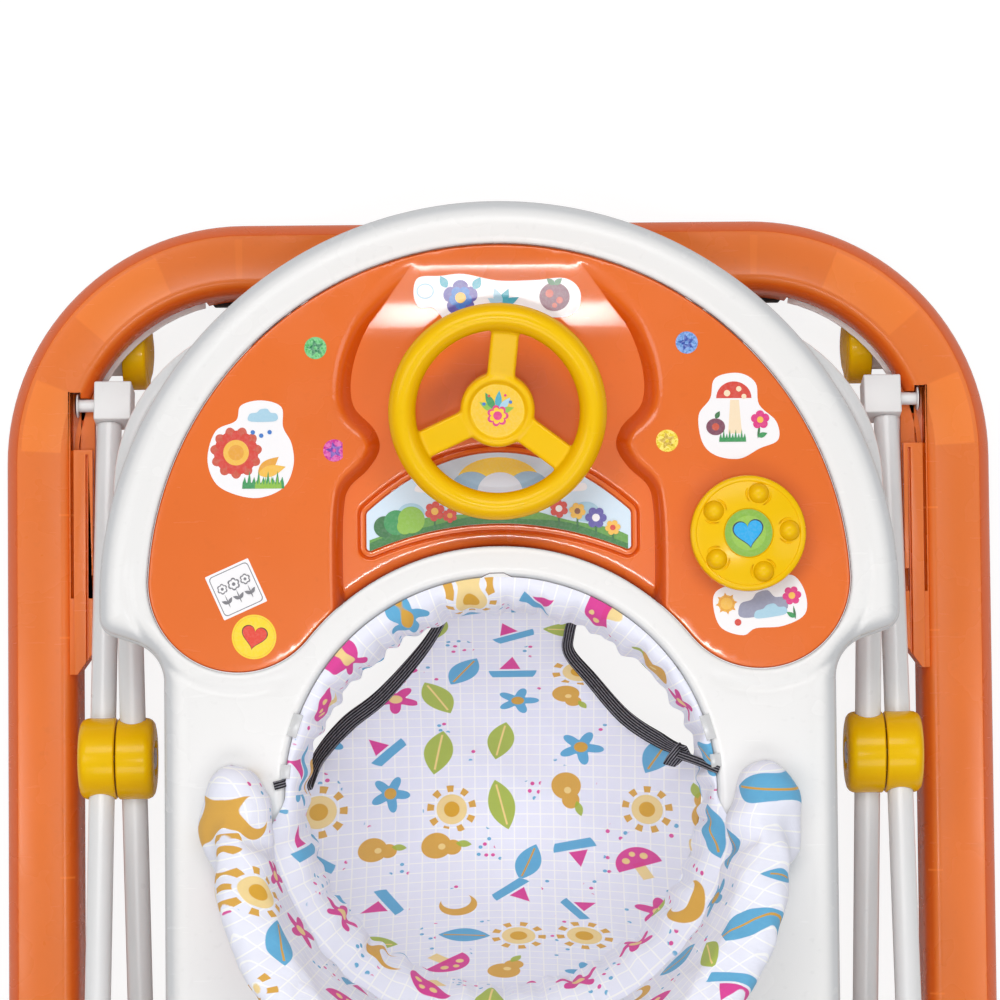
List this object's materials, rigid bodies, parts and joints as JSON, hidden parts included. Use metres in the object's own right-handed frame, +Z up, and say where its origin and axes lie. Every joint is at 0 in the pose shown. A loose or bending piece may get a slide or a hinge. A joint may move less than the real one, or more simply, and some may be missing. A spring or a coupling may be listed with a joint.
{
  "type": "baby walker",
  "caption": "Folding baby walker with a caster base ring, scissor tube frame, toy tray with steering wheel and rattle disc, padded backrest and hanging cloth seat.",
  "frame": {"origin": "on the floor under the middle of the base ring, at the bottom centre of the bounding box", "axes": "+X to the right seen from above with the front away, +Y to the front where the toy panel is, +Z up"},
  "size_m": [0.62, 0.67, 0.3383],
  "materials": {
    "base_orange": "moulded orange polypropylene, satin gloss",
    "panel_orange": "moulded orange plastic, glossy",
    "plate_white": "moulded white plastic",
    "tray_white": "moulded white polypropylene, satin gloss",
    "block_white": "moulded white plastic",
    "hood_white": "moulded white plastic",
    "tube_paint": "white powder-coated steel tube",
    "housing_yellow": "moulded yellow plastic",
    "toy_yellow": "moulded yellow plastic, glossy",
    "wheel_yellow": "moulded yellow plastic",
    "pin_steel": "bright steel",
    "stopper_rubber": "dark grey rubber",
    "window_print": "printed plastic sheet",
    "cloth": "pale printed cotton with light wadding"
  },
  "bodies": {
    "base": {"base_shell": "base_orange", "corner_plate_left": "plate_white", "stopper_pad_left": "stopper_rubber", "rear_pin_left": "pin_steel", "corner_plate_right": "plate_white", "stopper_pad_right": "stopper_rubber", "rear_pin_right": "pin_steel"},
    "inner_arm": {"frame_tube_inner": "tube_paint", "pivot_housing_inner_left": "housing_yellow", "pivot_bolt_left": "pin_steel", "rear_block_left": "block_white", "pivot_housing_inner_right": "housing_yellow", "pivot_bolt_right": "pin_steel", "rear_block_right": "block_white"},
    "outer_arm": {"frame_tube_outer": "tube_paint", "pivot_housing_outer_left": "housing_yellow", "slide_block_left": "block_white", "slide_pin_left": "pin_steel", "pivot_housing_outer_right": "housing_yellow", "slide_block_right": "block_white", "slide_pin_right": "pin_steel"},
    "tray": {"tray_frame": "tray_white", "toy_panel": "panel_orange", "dash_window": "window_print", "steering_column": "panel_orange", "rattle_post": "panel_orange", "tray_track_left": "block_white", "tray_track_right": "block_white", "tray_saddle_left": "block_white", "tray_saddle_right": "block_white", "backrest_shell": "tray_white", "backrest_pad": "cloth", "seat_sling": "cloth"},
    "steering": {"steering_wheel": "toy_yellow", "steering_hub_cap": "toy_yellow"},
    "rattle": {"rattle_disc": "toy_yellow"},
    "caster_front_left": {"caster_hood_front_left": "hood_white"},
    "wheels_front_left": {"caster_axle_front_left": "pin_steel", "caster_wheel_front_left_a": "wheel_yellow", "caster_wheel_front_left_b": "wheel_yellow"},
    "caster_front_middle": {"caster_hood_front_middle": "hood_white"},
    "wheels_front_middle": {"caster_axle_front_middle": "pin_steel", "caster_wheel_front_middle_a": "wheel_yellow", "caster_wheel_front_middle_b": "wheel_yellow"},
    "caster_front_right": {"caster_hood_front_right": "hood_white"},
    "wheels_front_right": {"caster_axle_front_right": "pin_steel", "caster_wheel_front_right_a": "wheel_yellow", "caster_wheel_front_right_b": "wheel_yellow"},
    "caster_rear_left": {"caster_hood_rear_left": "hood_white"},
    "wheels_rear_left": {"caster_axle_rear_left": "pin_steel", "caster_wheel_rear_left_a": "wheel_yellow", "caster_wheel_rear_left_b": "wheel_yellow"},
    "caster_rear_middle": {"caster_hood_rear_middle": "hood_white"},
    "wheels_rear_middle": {"caster_axle_rear_middle": "pin_steel", "caster_wheel_rear_middle_a": "wheel_yellow", "caster_wheel_rear_middle_b": "wheel_yellow"},
    "caster_rear_right": {"caster_hood_rear_right": "hood_white"},
    "wheels_rear_right": {"caster_axle_rear_right": "pin_steel", "caster_wheel_rear_right_a": "wheel_yellow", "caster_wheel_rear_right_b": "wheel_yellow"}
  },
  "joints": [
    {"name": "lift", "type": "hinge", "parent": "base", "child": "inner_arm", "pos_m": [0, -0.221, 0.068], "axis": [1, 0, 0], "range_deg": [0, 30.75]},
    {"name": "scissor_pivot", "type": "hinge", "parent": "inner_arm", "child": "outer_arm", "pos_m": [0, 0, 0.11801], "axis": [1, 0, 0], "range_deg": [-61.5, 0]},
    {"name": "tray_pivot", "type": "hinge", "parent": "outer_arm", "child": "tray", "pos_m": [0, -0.25895, 0.1766], "axis": [1, 0, 0], "range_deg": [0, 30.75]},
    {"name": "steering_turn", "type": "hinge", "parent": "tray", "child": "steering", "pos_m": [0, 0.203, 0.238], "axis": [0, -0.2079, 0.9781], "continuous": true},
    {"name": "rattle_turn", "type": "hinge", "parent": "tray", "child": "rattle", "pos_m": [0.147, 0.1314, 0.207], "axis": [0, 0, 1], "continuous": true},
    {"name": "swivel_front_left", "type": "hinge", "parent": "base", "child": "caster_front_left", "pos_m": [-0.24696, 0.27825, 0.06], "axis": [0, 0, 1], "continuous": true},
    {"name": "roll_front_left", "type": "hinge", "parent": "caster_front_left", "child": "wheels_front_left", "pos_m": [-0.24696, 0.25825, 0.024], "axis": [1, 0, 0], "continuous": true},
    {"name": "swivel_front_middle", "type": "hinge", "parent": "base", "child": "caster_front_middle", "pos_m": [0, 0.3125, 0.06], "axis": [0, 0, 1], "continuous": true},
    {"name": "roll_front_middle", "type": "hinge", "parent": "caster_front_middle", "child": "wheels_front_middle", "pos_m": [0, 0.2925, 0.024], "axis": [1, 0, 0], "continuous": true},
    {"name": "swivel_front_right", "type": "hinge", "parent": "base", "child": "caster_front_right", "pos_m": [0.24696, 0.27825, 0.06], "axis": [0, 0, 1], "continuous": true},
    {"name": "roll_front_right", "type": "hinge", "parent": "caster_front_right", "child": "wheels_front_right", "pos_m": [0.24696, 0.25825, 0.024], "axis": [1, 0, 0], "continuous": true},
    {"name": "swivel_rear_left", "type": "hinge", "parent": "base", "child": "caster_rear_left", "pos_m": [-0.24696, -0.27825, 0.06], "axis": [0, 0, 1], "continuous": true},
    {"name": "roll_rear_left", "type": "hinge", "parent": "caster_rear_left", "child": "wheels_rear_left", "pos_m": [-0.24696, -0.25825, 0.024], "axis": [1, 0, 0], "continuous": true},
    {"name": "swivel_rear_middle", "type": "hinge", "parent": "base", "child": "caster_rear_middle", "pos_m": [0, -0.3125, 0.06], "axis": [0, 0, 1], "continuous": true},
    {"name": "roll_rear_middle", "type": "hinge", "parent": "caster_rear_middle", "child": "wheels_rear_middle", "pos_m": [0, -0.2925, 0.024], "axis": [1, 0, 0], "continuous": true},
    {"name": "swivel_rear_right", "type": "hinge", "parent": "base", "child": "caster_rear_right", "pos_m": [0.24696, -0.27825, 0.06], "axis": [0, 0, 1], "continuous": true},
    {"name": "roll_rear_right", "type": "hinge", "parent": "caster_rear_right", "child": "wheels_rear_right", "pos_m": [0.24696, -0.25825, 0.024], "axis": [1, 0, 0], "continuous": true}
  ],
  "couplings": [
    {"joint": "scissor_pivot", "follows": "lift", "ratio": -2},
    {"joint": "tray_pivot", "follows": "lift", "ratio": 1}
  ]
}
